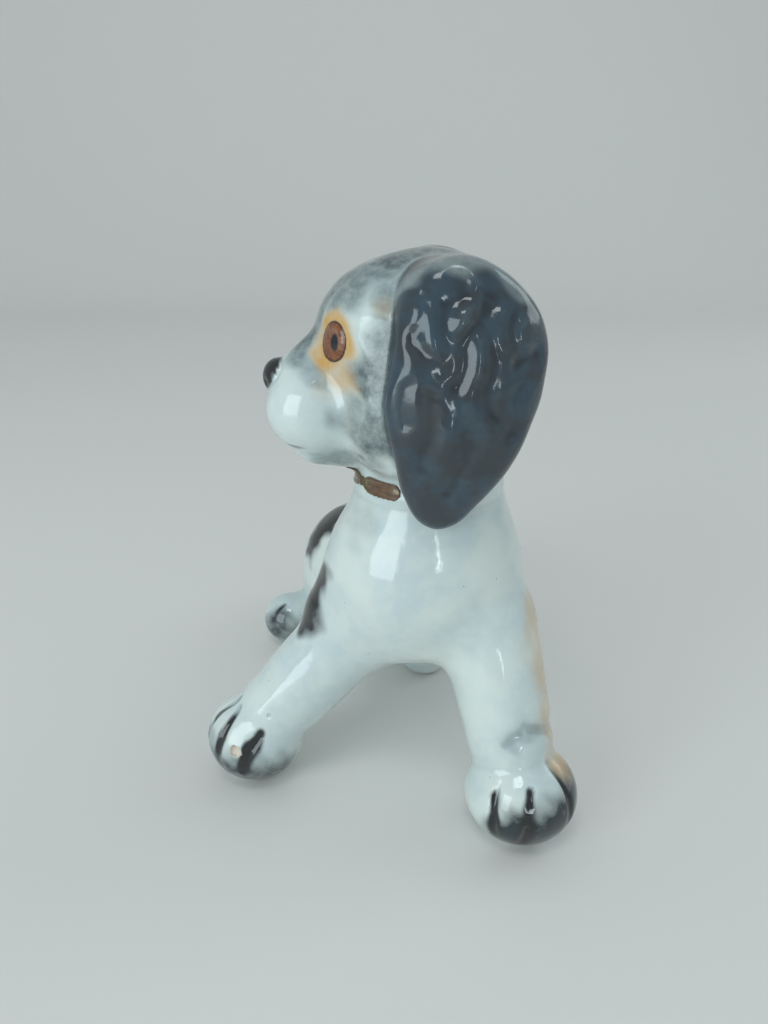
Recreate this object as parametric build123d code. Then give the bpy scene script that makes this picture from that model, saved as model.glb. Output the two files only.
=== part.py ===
from build123d import *
from math import asin, cos, radians, sin
import os

# A glazed ceramic puppy that sits back on its haunches with its forelegs spread and its
# head turned to its right. It is a set of castings luted together before the glaze firing:
# a hollow torso, a hollow head, two ears, two forelegs, two hind legs and a tail, with a
# small flat bow applied under the chin. Nothing on it moves.
#
# Millimetres, +Z up. The puppy stands on z = 0 and its chest faces -Y, so its own left is
# +X. Places are (x, y, z) from a bench mark on the floor under the belly. The finished set
# is then centred on the middle of its footprint, which is the origin.

# ---- Overall sizes ----
HEAD_HEIGHT = 103.0          # floor to the middle of the skull
CHEST_HEIGHT = 56.0          # floor to the middle of the chest
BODY_LENGTH = 73.0           # middle of the chest back to the middle of the rump
HEAD_TURN = 84.0             # degrees that the head is turned to the puppy's right
WALL = 3.2                   # cast wall of the torso and head
REST_FLAT = 0.8              # ground off under each part that stands on the floor
ROOM = 500.0                 # a length larger than the whole figure, for cutting blocks

# ---- Torso ----
CHEST_X = 9.0
CHEST_Y = -37.0
CHEST_RADII = (21.5, 17.0, 21.0)
BELLY_X = 7.0
BELLY_HALF_WIDTH = 22.0
BELLY_HALF_DEPTH = 21.0
BELLY_SAG = 1.5              # belly centre below the line from chest to rump
BELLY_OVERRUN = 3.0          # how far the belly form runs into the chest and the rump
BELLY_TILT = -12.0           # degrees that the back falls towards the rump
RUMP_X = 3.0
RUMP_RADII = (24.0, 26.0, 23.0)
VENT_RADIUS = 2.5            # firing vent in the flat under the rump
VENT_FORWARD = 3.0           # vent centre in front of the middle of the rump

# ---- Neck ----
NECK_X = 10.0
NECK_BASE_RADIUS = 18.2
NECK_TOP_RADIUS = 14.6
NECK_ROOT_RISE = 4.0         # neck root above, and behind, the middle of the chest
NECK_TOP_DROP = 17.0         # neck top below the middle of the skull
SEAM_DROP = 27.0             # luting seam of head and torso below the middle of the skull

# ---- Head: forward, left and up from the middle of the skull ----
HEAD_X = 9.5
HEAD_Y = -35.0
SKULL_RADII = (20.8, 20.5, 21.0)
FOREHEAD_AT = (9.8, 0.0, 6.5)
FOREHEAD_RADII = (13.0, 15.0, 12.0)
CHEEK_AT = (4.0, 8.0, -11.0)
CHEEK_RADII = (14.0, 12.0, 12.0)
MUZZLE_ROOT = (10.0, 0.0, -5.0)
MUZZLE_TIP = (23.5, 0.0, -7.0)
MUZZLE_RADII = (12.5, 8.6)   # at its root and its tip
BRIDGE_ROOT = (19.0, 0.0, 1.0)
BRIDGE_TIP = (28.0, 0.0, -3.2)
BRIDGE_RADII = (6.0, 4.2)
JAW_ROOT = (9.0, 0.0, -14.0)
JAW_TIP = (23.0, 0.0, -15.4)
JAW_RADII = (9.2, 6.3)
LIP_AT = (23.5, 4.5, -9.0)
LIP_RADII = (9.8, 7.2, 9.0)
NOSE_AT = (31.0, 0.0, -2.7)
NOSE_RADII = (3.2, 4.4, 3.6)

# ---- Ears, in the head's own directions ----
EAR_OUTLINE = [              # forward and up, round the edge of the flap
    (8.9, 13.0), (-0.5, 20.8), (-11.0, 18.0), (-18.4, 9.8), (-18.2, -3.6), (-10.6, -18.8),
    (-2.8, -29.0), (1.6, -30.8), (5.6, -28.4), (10.4, -13.6), (11.4, -3.4),
]
EAR_DOME_AT = (-3.0, -6.0)   # forward and up, middle of the rounded outer face
EAR_DOME_RADII = (26.0, 26.0, 38.0)
EAR_INNER = 17.8             # flat inner face of the hanging flap, out from mid-head
EAR_ROOT_INNER = 8.0         # the root runs in this close to mid-head, to meet the skull
EAR_ROOT_LEVEL = 1.0         # the root is the part of the ear above this level

# ---- Forelegs: shoulders are from the middle of the chest, the rest from the bench mark ----
LEFT_SHOULDER = (14.5, -5.0, -11.0)
LEFT_WRIST = (28.0, -51.0, 22.0)
LEFT_PAW = (30.7, -55.5)
LEFT_LEG_RADII = (10.8, 9.7)    # at the shoulder and the wrist
LEFT_PAW_RADII = (12.6, 12.3, 10.8)
RIGHT_SHOULDER = (-11.0, 2.0, -11.0)
RIGHT_WRIST = (-25.5, -36.0, 19.0)
RIGHT_PAW = (-31.6, -36.0)
RIGHT_LEG_RADII = (10.5, 9.2)
RIGHT_PAW_RADII = (11.6, 11.0, 11.0)

# ---- Hind legs and tail: places are from the floor under the middle of the rump ----
THIGH_RADII = (17.5, 20.0, 21.5)
THIGH_SPREAD = 12.0          # thigh centre to the rump centre, along X
LEFT_HEEL = (13.0, -8.0)
LEFT_TOES = (9.0, -26.0)
RIGHT_HEEL = (-19.0, -2.0)
RIGHT_TOES = (-33.0, -10.0)
HIND_FOOT_RADII = (7.0, 8.0)    # at the heel and the toes
TAIL_ROOT = (0.0, 24.0, 14.0)
TAIL_TIP = (-17.0, 27.0, 8.0)
TAIL_RADII = (4.5, 3.0)

# ---- Bow under the chin ----
BOW_RELIEF = 0.6             # how far it stands off the neck
BOW_WIDTH = 21.6             # across both loops, drawn flat
BOW_HEIGHT = 3.5             # at the ends of the loops
BOW_WAIST = 1.1              # where the loops meet
BOW_END_BULGE = 1.0
BOW_KNOT_RADIUS = 1.0
BOW_DROP = 24.4              # knot below the middle of the skull
BOW_BEARING = 205.0          # direction it faces, degrees about +Z from +X


# ---- Building blocks ----

def ellipsoid(centre, radii, tilt=0.0):
    """A solid ellipsoid, tipped by tilt degrees about X."""
    return Pos(*centre) * Rot(tilt, 0, 0) * scale(Sphere(1), by=radii)


def limb(start, end, radii):
    """A round-ended tapering limb: a ball at each end and the cone tangent to both."""
    reach = Vector(*end) - Vector(*start)
    lean = asin((radii[0] - radii[1]) / reach.length)

    def on_ball(ball, angle):
        height = 0.0 if ball == 0 else reach.length
        return Vector(radii[ball] * cos(angle), height + radii[ball] * sin(angle))

    quarter = radians(90)
    outline = Wire([
        Edge.make_three_point_arc(
            on_ball(0, -quarter), on_ball(0, (lean - quarter) / 2), on_ball(0, lean)),
        Edge.make_line(on_ball(0, lean), on_ball(1, lean)),
        Edge.make_three_point_arc(
            on_ball(1, lean), on_ball(1, (lean + quarter) / 2), on_ball(1, quarter)),
        Edge.make_line(on_ball(1, quarter), on_ball(0, -quarter)),
    ])
    body = revolve(make_face(outline), Axis.Y)
    return Plane(start, z_dir=reach).location * Rot(90, 0, 0) * body


def above(height):
    """Everything above a level, as a block."""
    return Pos(0, 0, height) * Box(ROOM, ROOM, ROOM, align=(Align.CENTER, Align.CENTER, Align.MIN))


def offset_from(point, step):
    """The point one step away from another."""
    return tuple(Vector(*point) + Vector(*step))


def inset(radii, wall):
    """The radii of a form set in by a wall."""
    return tuple(radius - wall for radius in radii)


# ---- Reference points ----

def chest_middle():
    return (CHEST_X, CHEST_Y, CHEST_HEIGHT)


def rump_foot():
    """The floor under the middle of the rump."""
    return (RUMP_X, CHEST_Y + BODY_LENGTH, 0.0)


def rump_middle():
    return offset_from(rump_foot(), (0, 0, RUMP_RADII[2] - REST_FLAT))


def skull_middle():
    return (HEAD_X, HEAD_Y, HEAD_HEIGHT)


def head_place():
    """The head's own directions: +X to the nose, +Y to its left, +Z up."""
    return Pos(*skull_middle()) * Rot(0, 0, -90 - HEAD_TURN)


# ---- Outer forms, or with a wall the hollows inside them ----

def neck_form(wall=0.0):
    """The tapering neck; a negative wall gives a skin standing off it."""
    root = (NECK_X, CHEST_Y + NECK_ROOT_RISE, CHEST_HEIGHT + NECK_ROOT_RISE)
    top = (NECK_X, HEAD_Y, HEAD_HEIGHT - NECK_TOP_DROP)
    return limb(root, top, inset((NECK_BASE_RADIUS, NECK_TOP_RADIUS), wall))


def trunk_form(wall=0.0):
    """Chest, belly, rump and neck run together."""
    chest = ellipsoid(chest_middle(), inset(CHEST_RADII, wall))
    rump = ellipsoid(rump_middle(), inset(RUMP_RADII, wall))
    halfway = (Vector(*chest_middle()) + Vector(*rump_middle())) / 2
    belly_at = (BELLY_X, halfway.Y, halfway.Z - BELLY_SAG)
    belly_radii = (BELLY_HALF_WIDTH, BODY_LENGTH / 2 + BELLY_OVERRUN, BELLY_HALF_DEPTH)
    belly = ellipsoid(belly_at, inset(belly_radii, wall), BELLY_TILT)
    return chest + belly + rump + neck_form(wall)


def head_form(wall=0.0):
    """Skull, forehead, cheeks, muzzle, bridge and jaw run together."""
    form = ellipsoid((0, 0, 0), inset(SKULL_RADII, wall))
    form += ellipsoid(FOREHEAD_AT, inset(FOREHEAD_RADII, wall))
    form += limb(MUZZLE_ROOT, MUZZLE_TIP, inset(MUZZLE_RADII, wall))
    form += limb(JAW_ROOT, JAW_TIP, inset(JAW_RADII, wall))
    form += limb(BRIDGE_ROOT, BRIDGE_TIP, inset(BRIDGE_RADII, wall))
    for at, radii in ((CHEEK_AT, CHEEK_RADII), (LIP_AT, LIP_RADII)):
        for side in (1, -1):
            form += ellipsoid((at[0], side * at[1], at[2]), inset(radii, wall))
    return head_place() * form


def seam_height():
    return HEAD_HEIGHT - SEAM_DROP


# ---- Castings ----

def torso():
    """Trunk and lower neck, hollow, open at the neck seam and vented under the rump."""
    shell = (trunk_form() & above(0)) - above(seam_height())
    hollow = trunk_form(WALL) & above(WALL)
    vent_at = offset_from(rump_foot(), (0, -VENT_FORWARD, 0))
    vent = Pos(*vent_at) * Cylinder(VENT_RADIUS, 4 * WALL)
    return shell - hollow - vent


def head():
    """Skull, muzzle and upper neck, hollow, with the nose moulded on."""
    nose = head_place() * ellipsoid(NOSE_AT, NOSE_RADII)
    shell = (head_form() + neck_form() + nose) & above(seam_height())
    return shell - (head_form(WALL) + neck_form(WALL))


def ear(side):
    """A solid flap pressed on the cheek: side is 1 for the left ear and -1 for the right."""
    sideways = (0, side, 0)

    def blank(inner):
        edge = Spline([(forward, side * inner, up) for forward, up in EAR_OUTLINE], periodic=True)
        return extrude(make_face(edge), ROOM, dir=sideways)

    dome = ellipsoid((EAR_DOME_AT[0], 0, EAR_DOME_AT[1]), EAR_DOME_RADII)
    flap = blank(EAR_INNER) + (blank(EAR_ROOT_INNER) & above(EAR_ROOT_LEVEL))
    return head_place() * (flap & dome) - head_form() - neck_form()


def foreleg(shoulder, wrist, paw, leg_radii, paw_radii):
    """A straight leg from the side of the chest to a round paw on the floor."""
    leg = limb(offset_from(chest_middle(), shoulder), wrist, leg_radii)
    foot = ellipsoid((*paw, paw_radii[2] - REST_FLAT), paw_radii)
    return ((leg + foot) & above(0)) - trunk_form()


def hind_leg(side, heel, toes):
    """A folded hind leg: a round thigh against the rump, and its foot on the floor."""
    thigh_at = offset_from(rump_foot(), (side * THIGH_SPREAD, 0, THIGH_RADII[2] - REST_FLAT))
    heel_at = offset_from(rump_foot(), (*heel, HIND_FOOT_RADII[0] - REST_FLAT))
    toes_at = offset_from(rump_foot(), (*toes, HIND_FOOT_RADII[1] - REST_FLAT))
    leg = ellipsoid(thigh_at, THIGH_RADII) + limb(heel_at, toes_at, HIND_FOOT_RADII)
    return (leg & above(0)) - trunk_form()


def tail(thigh):
    """A short tail that curls round beside the right thigh."""
    root = offset_from(rump_foot(), TAIL_ROOT)
    tip = offset_from(rump_foot(), TAIL_TIP)
    return limb(root, tip, TAIL_RADII) - trunk_form() - thigh


def bow_outline():
    """Two fan-shaped loops each side of a round knot, drawn flat."""
    outline = Circle(BOW_KNOT_RADIUS)
    for side in (1, -1):
        end = side * (BOW_WIDTH / 2 - BOW_END_BULGE)
        bottom, top = (end, -BOW_HEIGHT / 2), (end, BOW_HEIGHT / 2)
        waist_bottom, waist_top = (0, -BOW_WAIST / 2), (0, BOW_WAIST / 2)
        loop = Wire([
            Edge.make_line(waist_top, waist_bottom),
            Edge.make_line(waist_bottom, bottom),
            Edge.make_three_point_arc(bottom, (side * BOW_WIDTH / 2, 0), top),
            Edge.make_line(top, waist_top),
        ])
        outline += make_face(loop)
    return outline


def neck_bow():
    """A thin applied bow that follows the round of the neck under the chin."""
    outward = Vector(1, 0, 0).rotate(Axis.Z, BOW_BEARING)
    across = Vector(0, 1, 0).rotate(Axis.Z, BOW_BEARING)
    knot = offset_from(skull_middle(), (0, 0, -BOW_DROP))
    cutter = extrude(Plane(knot, x_dir=across, z_dir=outward) * bow_outline(), ROOM, dir=outward)
    skin = neck_form(-BOW_RELIEF) - neck_form() - head_form()
    return skin & cutter


def puppy():
    """Every piece by name, about the bench mark."""
    thigh = hind_leg(-1, RIGHT_HEEL, RIGHT_TOES)
    return {
        "torso": torso(),
        "head": head(),
        "ear_left": ear(1),
        "ear_right": ear(-1),
        "foreleg_left": foreleg(
            LEFT_SHOULDER, LEFT_WRIST, LEFT_PAW, LEFT_LEG_RADII, LEFT_PAW_RADII),
        "foreleg_right": foreleg(
            RIGHT_SHOULDER, RIGHT_WRIST, RIGHT_PAW, RIGHT_LEG_RADII, RIGHT_PAW_RADII),
        "hind_leg_left": hind_leg(1, LEFT_HEEL, LEFT_TOES),
        "hind_leg_right": thigh,
        "tail": tail(thigh),
        "neck_bow": neck_bow(),
    }


def centred(pieces):
    """The same pieces with the middle of their footprint at the origin."""
    middle = Compound(children=[Compound(piece.solids()) for piece in pieces.values()])
    middle = middle.bounding_box().center()
    return {name: Pos(-middle.X, -middle.Y, 0) * piece for name, piece in pieces.items()}


os.makedirs("parts", exist_ok=True)
for name, piece in centred(puppy()).items():
    export_step(piece, f"parts/{name}.step")
    box = piece.bounding_box()
    print(f"{name}: {len(piece.solids())} solid, {piece.volume:.0f} mm3, "
          f"{box.size.X:.1f} x {box.size.Y:.1f} x {box.size.Z:.1f} mm")
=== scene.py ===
import math

import bpy
import numpy as np
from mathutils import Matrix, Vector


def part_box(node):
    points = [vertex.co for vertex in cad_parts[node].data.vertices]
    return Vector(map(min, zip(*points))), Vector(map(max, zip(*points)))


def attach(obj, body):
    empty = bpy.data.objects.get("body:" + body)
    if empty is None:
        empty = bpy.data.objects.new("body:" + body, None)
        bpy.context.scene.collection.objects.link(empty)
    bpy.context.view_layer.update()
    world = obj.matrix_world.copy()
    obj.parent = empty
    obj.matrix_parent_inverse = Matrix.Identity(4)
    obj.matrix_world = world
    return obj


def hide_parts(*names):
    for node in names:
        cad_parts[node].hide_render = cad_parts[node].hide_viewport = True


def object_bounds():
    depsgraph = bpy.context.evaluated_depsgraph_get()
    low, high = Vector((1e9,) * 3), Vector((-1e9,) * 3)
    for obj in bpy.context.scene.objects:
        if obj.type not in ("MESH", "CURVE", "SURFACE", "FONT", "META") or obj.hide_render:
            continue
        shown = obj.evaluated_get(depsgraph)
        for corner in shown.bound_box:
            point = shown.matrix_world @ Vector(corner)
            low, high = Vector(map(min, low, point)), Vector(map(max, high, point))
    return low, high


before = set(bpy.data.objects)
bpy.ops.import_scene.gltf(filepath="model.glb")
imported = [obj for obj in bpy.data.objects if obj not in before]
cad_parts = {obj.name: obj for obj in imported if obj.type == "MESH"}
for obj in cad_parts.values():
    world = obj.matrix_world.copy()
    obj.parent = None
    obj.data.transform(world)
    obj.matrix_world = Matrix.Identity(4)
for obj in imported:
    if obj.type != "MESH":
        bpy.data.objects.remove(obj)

import openvdb
from mathutils import Vector

CAD_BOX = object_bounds()

# A glazed ceramic puppy. Its surface is worked out in millimetres from the bench mark that
# its castings are drawn from, as one smooth form, then cut into the castings along their
# joints. Colours are sprayed and brushed on under a clear glaze; painted shade and highlights are mixed
# in.

MM = 0.001

# ---- Meshing ----
VOXEL = 0.45          # grid step, mm
BOW_VOXEL = 0.15
BLOCK = 6                                    # grid steps in a block that is skipped when far off
SLOPE_STEP = 0.1                             # mm, for surface directions
CURVE_STEP = 0.9                             # mm, for hollows and ridges
CLIP = 3.0                                   # mm, distances on the grid are cut off past this
LABEL_PASSES = 240                           # most faces across an island that changes casting

# ---- Head: forward, left and up from the middle of the skull ----
SKULL_AT = (9.5, -35.0, 103.0)
HEAD_HEADING = 186.0                         # degrees about +Z that the muzzle points, from +X
SKULL = ((0, 0, 1), (20.8, 20.5, 21.0))      # middle and radii
BROW = ((9.8, 0, 6.5), (13, 15, 12))
CHEEK = ((4, 8, -11), (14, 12, 12))
LIP = ((23.5, 4.5, -9), (9.8, 7.2, 9))
MUZZLE = ((10, 0, -5), (23.5, 0, -7), (12.5, 8.6))   # root, tip and the radius at each
BRIDGE = ((19, 0, 1), (28, 0, -3.2), (6.9, 4.6))
JAW = ((9, 0, -14), (23, 0, -15.4), (9.2, 6.3))
NOSE_AT = (31.0, 0, -2.7)
NOSE_RADII = (3.2, 4.4, 3.6)
NOSTRIL_AT = (33.4, 2.0, -3.6)
PHILTRUM = [(33.5, 0, -5.0), (34.0, 0, -9.0), (32.5, 0, -13.0)]
MOUTH = [(32.5, 0, -13.5), (31, 5, -15), (26, 9.5, -16.5), (19, 11.5, -17.5), (13, 12.5, -16.5)]
EYE_AT = (20.7, 9.7, 5.5)
EYE_OUTWARD = (0.80, 0.60, 0.04)
EYE_HALF_WIDTH = 3.4
EYE_HALF_HEIGHT = 3.7

# ---- Ears, in the head's own directions ----
EAR_CORNERS = [                              # forward and up, round the edge of the flap
    (8.9, 13.0), (5.5, 18.6), (-0.5, 21.2), (-6.0, 20.9), (-11.0, 18.4), (-15.4, 14.6),
    (-18.4, 9.8), (-19.4, 4.4), (-18.4, -3.6), (-15.0, -11.6), (-10.8, -18.8), (-6.6, -24.2),
    (-2.8, -29.2), (1.6, -31.2), (5.6, -28.6), (8.4, -22.0), (10.4, -13.6), (11.7, -4.4),
    (10.2, 5.2),
]
EAR_LOCKS = [                                # grooves between locks: forward and up, then depth
    ([(8.8, 17.5), (8.9, 10.0)], 0.9), ([(5.6, 15.5), (5.1, 9.8)], 0.6),
    ([(6.4, 7.0), (5.4, 5.6)], 0.7), ([(-0.8, 21.0), (-1.8, 14.6)], 1.1),
    ([(1.6, 13.5), (0.4, 8.0), (1.8, 2.5)], 0.7),
    ([(-6.2, 14.4), (-5.0, 9.9), (-2.4, 6.3), (-1.0, 0.6)], 1.2),
    ([(-7.0, 17.5), (-8.4, 14.0), (-7.2, 8.5)], 0.6),
    ([(-11.6, 14.6), (-10.8, 7.4), (-11.6, 3.6)], 0.8), ([(-15.0, 4.4), (-11.6, 3.2)], 0.6),
    ([(-7.4, 5.6), (-6.8, 0.0), (-7.2, -5.5)], 0.7), ([(3.2, -2.2), (4.0, -6.5), (4.9, -16.0)], 0.7),
    ([(-1.0, -1.5), (-2.4, -5.5)], 0.5), ([(-2.2, -9.0), (-3.4, -14.5), (0.4, -20.5)], 0.7),
    ([(8.2, -1.0), (8.0, -7.0)], 0.5), ([(-12.6, -1.5), (-11.2, -8.5)], 0.5),
]
EAR_RIDGES = [                               # the same for locks that stand out
    ([(6.8, 14.5), (6.9, 10.5)], 0.6), ([(3.6, 12.6), (3.2, 6.6)], 0.6),
    ([(-1.6, 12.2), (-1.9, 10.8)], 0.6), ([(-5.6, 18.0), (-5.0, 17.2)], 0.5),
    ([(-9.3, 12.4), (-9.5, 6.4)], 0.6), ([(-13.4, 9.4), (-14.2, 6.6)], 0.7),
    ([(-5.2, 6.8), (-4.4, 2.0)], 0.6), ([(-6.4, -7.6), (-6.6, -12.4), (-4.0, -18.4)], 0.6),
    ([(1.0, -8.0), (1.8, -15.0)], 0.4),
]
EAR_LOCK_WIDTH = 2.0
EAR_TOP = [(8.5, 15, 16), (4, 16, 19), (-2, 16.5, 20.5), (-8, 17, 19.5), (-14, 17.5, 15)]
EAR_DOME = ((-3, 0, -6), (26, 26, 38))       # middle and radii of the rounded outer face
EAR_INNER = 17.8                             # inner face of the flap, out from mid-head
EAR_ROOT_INNER = 8.0                         # the root runs in this close to mid-head
EAR_ROOT_LEVEL = 6.0
EAR_ROOT_EASE = 1.6
EAR_EDGE_ROUND = 4.0

# ---- Trunk, legs and tail, from the bench mark: middle and radii, or ends and radii ----
NECK = ((10, -33, 60), (10, -35, 86), (18.2, 14.6))
CHEST = ((9, -37, 56), (21.5, 17, 21))
BELLY = ((7, -0.5, 37.6), (22, 38, 20.5))
BELLY_TILT = -12                             # degrees about X
RUMP = ((3, 36, 22.2), (24, 26, 23))
LEFT_LEG = ((23.5, -42, 45), (28, -51, 22), (10.8, 9.7))
RIGHT_LEG = ((-2, -35, 45), (-25.5, -36, 19), (10.5, 9.2))
RIGHT_SHOULDER = ((-2, -34, 57), (-9.4, -34.5, 44), (7.0, 8.5))
THIGH_AT = (3, 36, 20.7)
THIGH_SPREAD = 12                            # from mid-rump to the middle of a thigh
THIGH_RADII = (17.5, 20, 21.5)
HIND_FOOT_RADII = (7, 8)                     # at the heel and the toes
LEFT_HIND_FOOT = ((16, 28, 8), (12, 10, 7))          # heel and toes
RIGHT_HIND_FOOT = ((-16, 34, 8), (-30, 26, 8))
TAIL = ((3, 60, 14), (-14, 63, 8), (4.5, 3))

# ---- Fillets where the forms run together ----
TRUNK_FILLET = 14
NECK_FILLET = 8
LEFT_SHOULDER_FILLET = 9
RIGHT_SHOULDER_FILLET = 12
HIP_FILLET = 6
TAIL_FILLET = 4
HEAD_FILLET = 3
PAW_FILLET = 4
HEEL_FILLET = 5
FOOT_EDGE_ROUND = 1.0

# ---- Neck seam and bow ----
SEAM_LEVEL = 76.0
NECK_AXIS = (10.0, -34.3)
BOW_LEVEL = 78.6
BOW_BEARING = 205.0                          # degrees about +Z from +X
BOW_NECK_RADIUS = 15.2
BOW_HALF_WIDTH = 10.8
BOW_HALF_HEIGHT = 1.75

# ---- Paws ----
LEFT_PAW = (30.7, -55.5, 10.0)
LEFT_PAW_RADII = (12.6, 12.3, 10.8)
RIGHT_PAW = (-31.6, -36.0, 10.2)
RIGHT_PAW_RADII = (11.6, 11.0, 11.0)
TOE_WIDTH = 0.9
TOE_DEPTH = 0.6
LEFT_TOES = [                                # creases between the toes, from the middle of the paw
    [(-6.4, -7.4, 7.6), (-7.4, -9.8, 1.0), (-7.4, -10.0, -6.0)],
    [(0.4, -8.8, 7.2), (-0.6, -11.6, 0.0), (-1.2, -11.4, -6.0)],
    [(5.2, -3.2, 10.2), (9.0, -7.2, 3.6), (9.6, -7.8, -3.0)],
]
LEFT_STROKES = [(0.4, 1.3, 1.4), (0.7, 1.9, 2.6), (0.3, 0.9, 1.8)]
RIGHT_TOES = [
    [(-2.6, -0.4, 11.2), (-9.0, -1.8, 6.4), (-11.2, -3.0, -1.0)],
    [(-2.6, -3.6, 10.8), (-6.4, -7.4, 5.0), (-8.9, -8.6, -2.0)],
    [(4.4, -8.0, 8.6), (0.4, -10.4, 3.2), (-2.0, -10.8, -3.0)],
]
RIGHT_STROKES = [(0.2, 0.35, 0.5), (0.3, 1.2, 1.0), (0.3, 2.0, 1.5)]
WRIST_CREASE = [(25.8, -60.2, 25.5), (30.2, -58.6, 28.6), (35.6, -55.0, 26.0), (38.4, -51.0, 25.0)]
VENT_AT = (3.0, 33.0)
VENT_RADIUS = 2.5
VENT_DEPTH = 5
CHIP_AT = (-34.9, -46.2, 12.9)               # glaze knocked off a toe
CHIP_RADIUS = 1.3
PIT_AT = (-26.9, -45.4, 22.2)                # a glaze pit on the instep
PIT_RADIUS = 0.9

# ---- Camera ----
CAMERA_AT = (0.0, -199.0, 135.3)
CAMERA_DOWN = 22.0                           # degrees below level
LENS = 28.125                                # mm, for a sensor of 36 mm


# ---- What the rest is worked out from ----

def bench_mark():
    """The bench mark in the frame's metres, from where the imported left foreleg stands."""
    low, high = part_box("foreleg_left")
    return Vector((high.x - (LEFT_PAW[0] + LEFT_PAW_RADII[0]) * MM,
                   low.y - (LEFT_PAW[1] - LEFT_PAW_RADII[1]) * MM, 0))


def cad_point(corner):
    """A point of the frame in mm from the bench mark."""
    return np.array(corner - BENCH_MARK) / MM


def figure_box():
    """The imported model's box in mm from the bench mark, with room round it."""
    room = 3.0
    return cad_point(CAD_BOX[0]) - room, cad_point(CAD_BOX[1]) + room


BENCH_MARK = bench_mark()
LIT_POINT = Vector((0, 0, (CAD_BOX[0].z + CAD_BOX[1].z) / 2))


# ---- Distance functions: p is a 3 x N array of points, the answer is mm outside (+) or inside (-) ----

def column(*values):
    return np.array(values, np.float32)[:, None]


def length(v):
    return np.sqrt(v[0] * v[0] + v[1] * v[1] + v[2] * v[2])


def ellipsoid(p, centre, radii, tilt=0.0):
    """About the distance to an ellipsoid that is tipped by tilt degrees about X."""
    q = p - column(*centre)
    if tilt:
        c, s = math.cos(math.radians(tilt)), math.sin(math.radians(tilt))
        q = np.stack([q[0], c * q[1] + s * q[2], c * q[2] - s * q[1]])
    q = q / column(*radii)
    near = length(q)
    return near * (near - 1) / np.maximum(length(q / column(*radii)), 1e-6)


def limb(p, start, end, radii):
    """Distance to a tapering limb with a ball at each end."""
    axis = column(*end) - column(*start)
    reach2 = float((axis * axis).sum())
    shrink = radii[0] - radii[1]
    slope2 = reach2 - shrink * shrink
    q = p - column(*start)
    y = q[0] * axis[0] + q[1] * axis[1] + q[2] * axis[2]
    z = y - reach2
    off = q * reach2 - axis * y
    x2 = off[0] ** 2 + off[1] ** 2 + off[2] ** 2
    k = np.sign(shrink) * shrink * shrink * x2
    past_end = np.sign(z) * slope2 * z * z * reach2 > k
    before_start = np.sign(y) * slope2 * y * y * reach2 < k
    side = (np.sqrt(x2 * slope2 / reach2) + y * shrink) / reach2 - radii[0]
    at_end = np.sqrt(x2 + z * z * reach2) / reach2 - radii[1]
    at_start = np.sqrt(x2 + y * y * reach2) / reach2 - radii[0]
    return np.where(past_end, at_end, np.where(before_start, at_start, side))


def join(a, b, soft):
    """Both forms run together, with a fillet about as wide as soft."""
    h = np.maximum(soft - np.abs(a - b), 0) / soft
    return np.minimum(a, b) - h * h * h * soft / 6


def common(a, b, soft):
    """What is inside both forms, with the edge rounded over about soft."""
    return -join(-a, -b, soft)


def fade(value, full, gone):
    """1 where value has reached full, 0 where it has gone, eased in between."""
    t = np.clip((value - gone) / (full - gone), 0, 1)
    return t * t * (3 - 2 * t)


def nearest_on_path(p, path):
    """Distance to a run of straight lines through listed points."""
    best = np.full(p.shape[1], 1e9, np.float32)
    for a, b in zip(path, path[1:]):
        a, b = column(*a), column(*b)
        step = b - a
        t = ((p - a) * step).sum(0) / float((step * step).sum())
        best = np.minimum(best, length(p - a - step * np.clip(t, 0, 1)))
    return best


def groove(p, path, width, depth):
    """How far a soft groove along a path pushes the surface in."""
    return depth * np.exp(-(nearest_on_path(p, path) / width) ** 2)


def seeded_waves(seed, count, shortest, longest):
    """Random plane waves for slow hand-made unevenness, the same on every run."""
    rng = np.random.default_rng(seed)
    heading = rng.normal(size=(count, 3))
    heading /= np.linalg.norm(heading, axis=1)[:, None]
    turns = 2 * math.pi / rng.uniform(shortest, longest, size=(count, 1))
    return (heading * turns).astype(np.float32), rng.uniform(0, 2 * math.pi, count)


def uneven(p, waves):
    """The sum of a set of waves at each point, mostly between -1 and 1."""
    headings, phases = waves
    total = np.zeros(p.shape[1], np.float32)
    for heading, phase in zip(headings, phases):
        total += np.sin(heading[0] * p[0] + heading[1] * p[1] + heading[2] * p[2] + phase)
    return total / math.sqrt(len(phases) * 0.5)


# ---- The puppy's forms ----

def head_point(p):
    """Points in the head's own directions: forward to the nose, its left, up."""
    q = p - column(*SKULL_AT)
    c, s = math.cos(math.radians(HEAD_HEADING)), math.sin(math.radians(HEAD_HEADING))
    return np.stack([c * q[0] + s * q[1], c * q[1] - s * q[0], q[2]])


def mirrored(h):
    """The same points folded on to the head's left half."""
    return np.stack([h[0], np.abs(h[1]), h[2]])


def skull_form(h):
    """Skull, brow, cheeks and muzzle, before the small modelling."""
    m = mirrored(h)
    d = join(ellipsoid(m, *SKULL), ellipsoid(m, *BROW), 6)
    d = join(d, ellipsoid(m, *CHEEK), 8)
    d = join(d, limb(m, *MUZZLE), 9)
    d = join(d, limb(m, *BRIDGE), 3)
    d = join(d, ellipsoid(m, *LIP), 4)
    return join(d, limb(m, *JAW), 2.2)


def eye_ring(m):
    """How far out from the middle of the painted eye, 1 at its rim, looking at its own face."""
    q = m - column(*EYE_AT)
    outward = np.array(EYE_OUTWARD, np.float32)
    outward /= np.linalg.norm(outward)
    across = np.cross(outward, (0, 0, 1))
    across /= np.linalg.norm(across)
    upward = np.cross(across, outward)
    a = (across[:, None] * q).sum(0) / EYE_HALF_WIDTH
    b = (upward[:, None] * q).sum(0) / EYE_HALF_HEIGHT
    return np.sqrt(a * a + b * b)


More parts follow.
